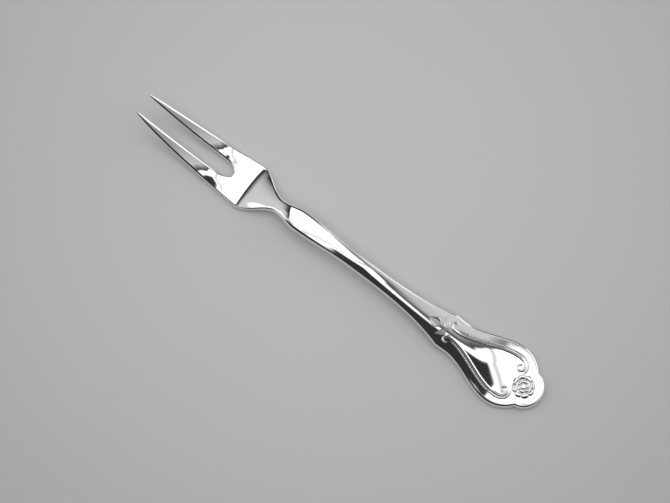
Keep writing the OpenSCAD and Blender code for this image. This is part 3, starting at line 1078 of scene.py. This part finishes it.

# %% [markdown]
# ## Floor
# The fork lies on a plain pale sheet of seamless paper. A flat disc is enough, because the paper's tooth
# is too fine to see. It gets a trace of mottling, and its grey is painted darker away from the fork:
# painted shade that stands in for the fall of light on a sheet that is lit in its middle.

# %% A pale sheet of paper
floor_radius = 3.0
paper_low = grey(0.505)
paper_high = grey(0.525)
# Grey of the painted shade that the paper turns to far from the lit spot.
painted_falloff_grey = grey(0.38)
lit_spot = (-0.018, 0.024, 0.0)
lit_within = 0.02
far_beyond = 0.2
bpy.ops.mesh.primitive_circle_add(vertices=96, radius=floor_radius, fill_type="NGON", location=(0, 0, 0))
floor = bpy.context.object
floor.name = "paper_floor"
material, shader, start = new_material("pale_paper")
place = start.node("ShaderNodeTexCoord", output="Object")
mottle = start.node("ShaderNodeTexNoise", {}, {"Vector": place, "Scale": 14.0, "Detail": 2.0})
from_spot = start.node("ShaderNodeVectorMath", {"operation": "DISTANCE"}, {0: place, 1: lit_spot}, "Value")
paper = mottle.blend(paper_low, paper_high)
# Painted shade: the paper's colour darkens with the distance from the lit spot near the fork.
feed(from_spot.step(lit_within, far_beyond).blend(paper, painted_falloff_grey), shader, "Base Color")
shader.inputs["Roughness"].default_value = 0.7
shader.inputs["Specular IOR Level"].default_value = 0.2
floor.data.materials.append(material)
print("floor of", 2 * floor_radius, "m")

# %% [markdown]
# ## Camera
# The picture is taken from almost straight above, turned so that the fork runs from upper left to lower
# right. A near camera with a short lens would swell the handle, so this one stands far off with a long
# lens. It aims at a point near the fork's middle.

# %% Aim the camera
azimuth = math.radians(36.694)
elevation = math.radians(80)
distance = 2.4
aim = np.array([-0.00229, -0.00043, 0.0])
lens = 411.2
sensor = 36.0
right = np.array([math.cos(azimuth), math.sin(azimuth), 0])
ahead = np.array([-math.sin(azimuth), math.cos(azimuth), 0])
up = np.array([0, 0, 1])
eye = aim - ahead * distance * math.cos(elevation) + up * distance * math.sin(elevation)
camera_data = bpy.data.cameras.new("camera")
camera_data.lens = lens
camera_data.sensor_width = sensor
camera = bpy.data.objects.new("camera", camera_data)
camera.location = eye
camera.rotation_euler = (math.pi / 2 - elevation, 0, azimuth)
bpy.context.collection.objects.link(camera)
bpy.context.scene.camera = camera
print("camera at", [round(float(c), 4) for c in eye])

# %% [markdown]
# ## Studio light
# A mirror has no colour of its own: it shows the room. Here the room is a light tent: a bright panel
# overhead with a seam and a gap in it, bright side walls, grey cloth and dark openings between them. It
# could be built from lamps and sheets, but soft edges are easier to paint on the sky, by direction. Two
# measures are enough: how far a ray leans to the picture's right, and how far it leans ahead. Two more
# follow from them: its lean across the fork and its lean towards the handle. Near the horizon the tent
# is plain grey.

# %% Measures of direction
horizon = 0.05
clear_of_horizon = 0.15
fork_slope = 0.74
world = bpy.data.worlds.new("light_tent")
bpy.context.scene.world = world
world.use_nodes = True
sky = Value(world.node_tree)
ray = sky.node("ShaderNodeTexCoord", output="Generated")
climb = ray.dot(tuple(up))
lean_right = ray.dot(tuple(right)) / climb.most(horizon)
lean_ahead = ray.dot(tuple(ahead)) / climb.most(horizon)
lean_across = lean_ahead + lean_right * fork_slope
lean_handle = lean_right - lean_ahead * fork_slope


def above(value, edge, soft):
    """1 where the value is more than the edge, 0 where it is less, soft between."""
    return value.step(edge - soft, edge + soft)


def below(value, edge, soft):
    """1 where the value is less than the edge, 0 where it is more, soft between."""
    return 1 - above(value, edge, soft)


print("leans measured from the picture's right", [round(float(c), 3) for c in right])

# %% The panel overhead
panel_left = -0.17
panel_right = 0.128
panel_right_least = 0.108
panel_near = -0.03
panel_near_slant = 0.6
panel_far = 0.66
jog_at = 0.1
jog_width = 0.018
narrows_from = 0.165
far_narrowing = 0.8
near_narrowing = 0.5
jog = above(lean_ahead, jog_at, soft=0.015) * jog_width
far_loss = (lean_ahead - narrows_from).most(0.0) * far_narrowing
near_loss = (-1.0 * lean_ahead).most(0.0) * near_narrowing
right_edge = (panel_right + jog - far_loss - near_loss).most(panel_right_least)
past_left = panel_left - lean_right
past_right = lean_right - right_edge
panel = below(past_left, 0.0, soft=0.012) * below(past_right, 0.0, soft=0.008)
panel = panel * above(lean_ahead + lean_right * panel_near_slant, panel_near, soft=0.01)
panel = panel * below(lean_ahead, panel_far, soft=0.08)
print("panel from", panel_left, "to", panel_right, "and up to", panel_far, "ahead")

# %% The panel's gap and seam
gap_far = 0.103
gap_right = 0.08
gap_widens_from = 0.08
gap_widening = 0.25
gap_start = -0.088
seam_at = 0.129
seam_bends_from = 0.065
seam_slope = 0.65
seam_half = 0.01
seam_left = -0.06
seam_depth = 0.9
gap_edge = gap_right + (gap_widens_from - lean_ahead).most(0.0) * gap_widening
gap = below(lean_ahead, gap_far, soft=0.008) * below(lean_right - gap_edge, 0.0, soft=0.008)
gap = gap * above(lean_handle, gap_start, soft=0.008)
seam_line = seam_at + (lean_right - seam_bends_from).most(0.0) * seam_slope
seam = below((lean_ahead - seam_line).size(), seam_half, soft=0.004)
seam = seam * above(lean_right, seam_left, soft=0.006)
panel = panel * (1 - gap) * (1 - seam * seam_depth)
print("gap up to", gap_far, "ahead, seam at", seam_at)

# %% Dark openings
near_edge = -0.08
near_slant = 2.0
near_left = -0.1
far_edge = 0.7
far_left = -0.45
far_slant = 0.65
near_opening = below(lean_across, near_edge, soft=0.06)
near_opening = near_opening * above(lean_right - lean_ahead * near_slant, near_left, soft=0.06)
far_opening = above(lean_ahead, far_edge, soft=0.06) * above(lean_right, far_left, soft=0.1)
far_opening = far_opening * below(lean_right - lean_ahead * far_slant, 0.0, soft=0.03)
print("openings nearer than", near_edge, "and farther than", far_edge)

# %% Shade beside the panel, and dim cloth
stretch_slant = 0.83
stretch_from = 0.1
stretch_share = 0.57
left_shade_width = 0.13
left_shade_from = 0.12
right_shade_width = 0.045
right_shade_far = 0.3
dim_from = 0.29
dim_across = 0.36
dim_share = 0.5
stretched = above(lean_ahead + lean_right * stretch_slant, stretch_from, soft=0.05) * stretch_share
left_shade = below(past_left * (1 - stretched), left_shade_width, soft=0.11)
left_shade = left_shade * above(past_left, 0.0, soft=0.01) * above(lean_ahead, left_shade_from, soft=0.04)
right_shade = above(past_right, 0.0, soft=0.01) * below(past_right, right_shade_width, soft=0.045)
right_shade = right_shade * below(lean_ahead, right_shade_far, soft=0.2)
dim_cloth = above(lean_right, dim_from, soft=0.21) * below(lean_across, dim_across, soft=0.06) * dim_share
shade = gap.most(near_opening).most(far_opening).most(left_shade).most(right_shade).most(dim_cloth)
print("shade", left_shade_width, "wide on the left and", right_shade_width, "on the right")

# %% Side walls, and all the light together
wall_light = 0.6
panel_light = 1.4
opening_light = 0.03
right_wall_from = 0.9
right_wall_slant = 0.66
right_wall_left = 0.03
left_wall_from = -0.62
left_wall_near = -0.2
left_wall_far = 0.5
right_wall = above(lean_across, right_wall_from, soft=0.1)
right_wall = right_wall * above(lean_right - lean_ahead * right_wall_slant, right_wall_left, soft=0.03)
left_wall = below(lean_right, left_wall_from, soft=0.05)
left_wall = left_wall * above(lean_ahead, left_wall_near, soft=0.05)
left_wall = left_wall * below(lean_ahead, left_wall_far, soft=0.05)
bright = right_wall.most(left_wall).most(panel)
tent = wall_light + shade * (opening_light - wall_light)
tent = tent + bright * (panel_light - tent)
light = wall_light + climb.step(horizon, clear_of_horizon) * (tent - wall_light)
background = world.node_tree.nodes["Background"]
feed(light, background, "Strength")
background.inputs["Color"].default_value = grey(1)
bpy.context.scene.view_settings.view_transform = "Standard"
print("tent painted with", len(world.node_tree.nodes), "nodes")

# %% [markdown]
# ## A soft lamp for the paper
# The tent is dim, so a wide lamp high above lifts the paper to its own tone and gives the fork its soft
# shadow. A photographer would flag it off the silver with a card. Here the lamp is left out of what
# polished surfaces mirror, which does the same.

# %% The lamp
lamp_size = 4.0
lamp_height = 3.0
lamp_power = 63.0
lamp_data = bpy.data.lights.new("paper_lamp", "AREA")
lamp_data.size = lamp_size
lamp_data.energy = lamp_power
lamp = bpy.data.objects.new("paper_lamp", lamp_data)
lamp.location = (0.0, 0.0, lamp_height)
lamp.visible_glossy = False
bpy.context.collection.objects.link(lamp)
print("lamp at", lamp_height, "m")

# %% [markdown]
